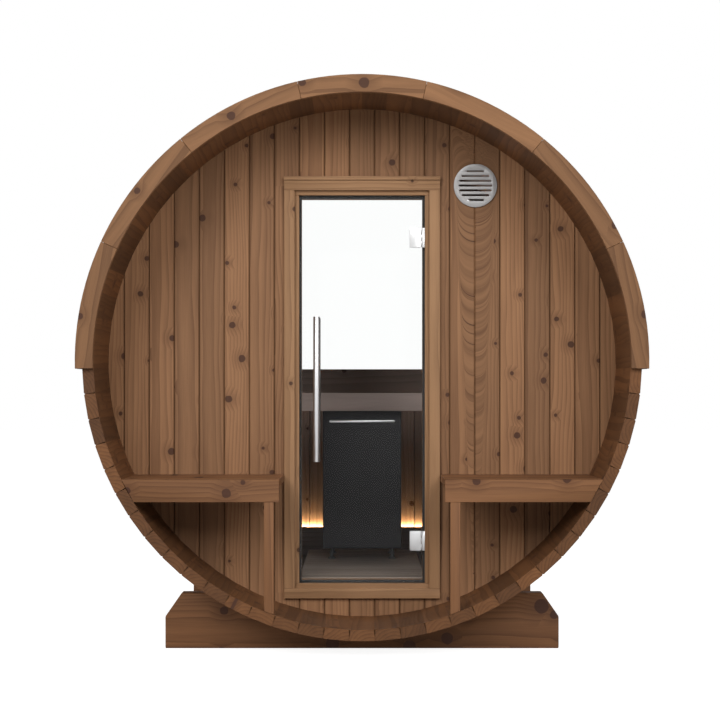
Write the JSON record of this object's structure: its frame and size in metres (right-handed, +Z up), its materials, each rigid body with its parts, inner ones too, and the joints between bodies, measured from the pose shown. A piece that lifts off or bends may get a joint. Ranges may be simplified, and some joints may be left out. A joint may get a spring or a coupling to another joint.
{
  "type": "barrel sauna cabin",
  "caption": "Barrel-shaped wooden sauna cabin on cradles, with a porch and benches, a hinged glass door, a half-moon rear window and a heater inside.",
  "frame": {"origin": "on the ground under the middle of the barrel", "axes": "+Z up, -Y out of the porch, +X to the right as one faces the door"},
  "size_m": [2.1398, 2.186, 2.1885],
  "materials": {
    "stave_wood": "oiled heat-treated softwood, darker in the porch",
    "cradle_wood": "oiled heat-treated softwood with large knots",
    "hoop_steel": "satin stainless steel",
    "roofing_felt": "mineral-faced bitumen shingles",
    "fascia_wood": "oiled heat-treated softwood",
    "wall_wood": "oiled heat-treated softwood with knots",
    "frame_wood": "clear heat-treated softwood",
    "seal_rubber": "black rubber",
    "hinge_steel": "satin stainless steel",
    "vent_metal": "satin light grey metal",
    "bench_wood": "oiled heat-treated softwood",
    "rear_wood": "heat-treated softwood",
    "clear_glass": "clear tempered glass",
    "floor_wood": "bare heat-treated softwood",
    "light_diffuser": "warm white light diffuser",
    "heater_enamel": "matt black enamel",
    "heater_stone": "broken dark stone",
    "foot_steel": "zinc-plated steel",
    "trim_steel": "bright satin steel"
  },
  "bodies": {
    "cabin": {"staves_bottom": "stave_wood", "staves_left_lower": "stave_wood", "staves_left_middle": "stave_wood", "staves_left_upper": "stave_wood", "staves_right_lower": "stave_wood", "staves_right_middle": "stave_wood", "staves_right_upper": "stave_wood", "cradle_front": "cradle_wood", "cradle_rear": "cradle_wood", "hoops": "hoop_steel", "roofing": "roofing_felt", "fascia_front": "fascia_wood", "fascia_rear": "fascia_wood", "front_wall_left": "wall_wood", "front_wall_right": "wall_wood", "front_wall_over_door": "wall_wood", "front_wall_under_door": "wall_wood", "frame_jamb_left": "frame_wood", "frame_jamb_right": "frame_wood", "frame_head": "frame_wood", "frame_sill": "frame_wood", "door_seal": "seal_rubber", "casing_left": "frame_wood", "casing_right": "frame_wood", "casing_head": "frame_wood", "casing_sill": "frame_wood", "frame_hinge_leaves": "hinge_steel", "vent_grille": "vent_metal", "bench_seat_left": "bench_wood", "bench_seat_right": "bench_wood", "bench_leg_left": "bench_wood", "bench_leg_right": "bench_wood", "rear_wall": "rear_wood", "rear_window_board": "rear_wood", "rear_window_arch": "rear_wood", "rear_window_glass": "clear_glass", "floor_duckboard": "floor_wood", "rear_ledge": "rear_wood", "light_strip": "light_diffuser", "heater_cabinet": "heater_enamel", "heater_stones": "heater_stone", "heater_feet": "foot_steel", "heater_trim": "trim_steel", "heater_guard": "rear_wood"},
    "door": {"door_glass": "clear_glass", "door_hinge_leaves": "hinge_steel", "door_handle": "hinge_steel"}
  },
  "joints": [
    {"name": "door_swing", "type": "hinge", "parent": "cabin", "child": "door", "pos_m": [0.2345, -0.604, 1.0135], "axis": [0, 0, 1], "range_deg": [0, 95]}
  ]
}
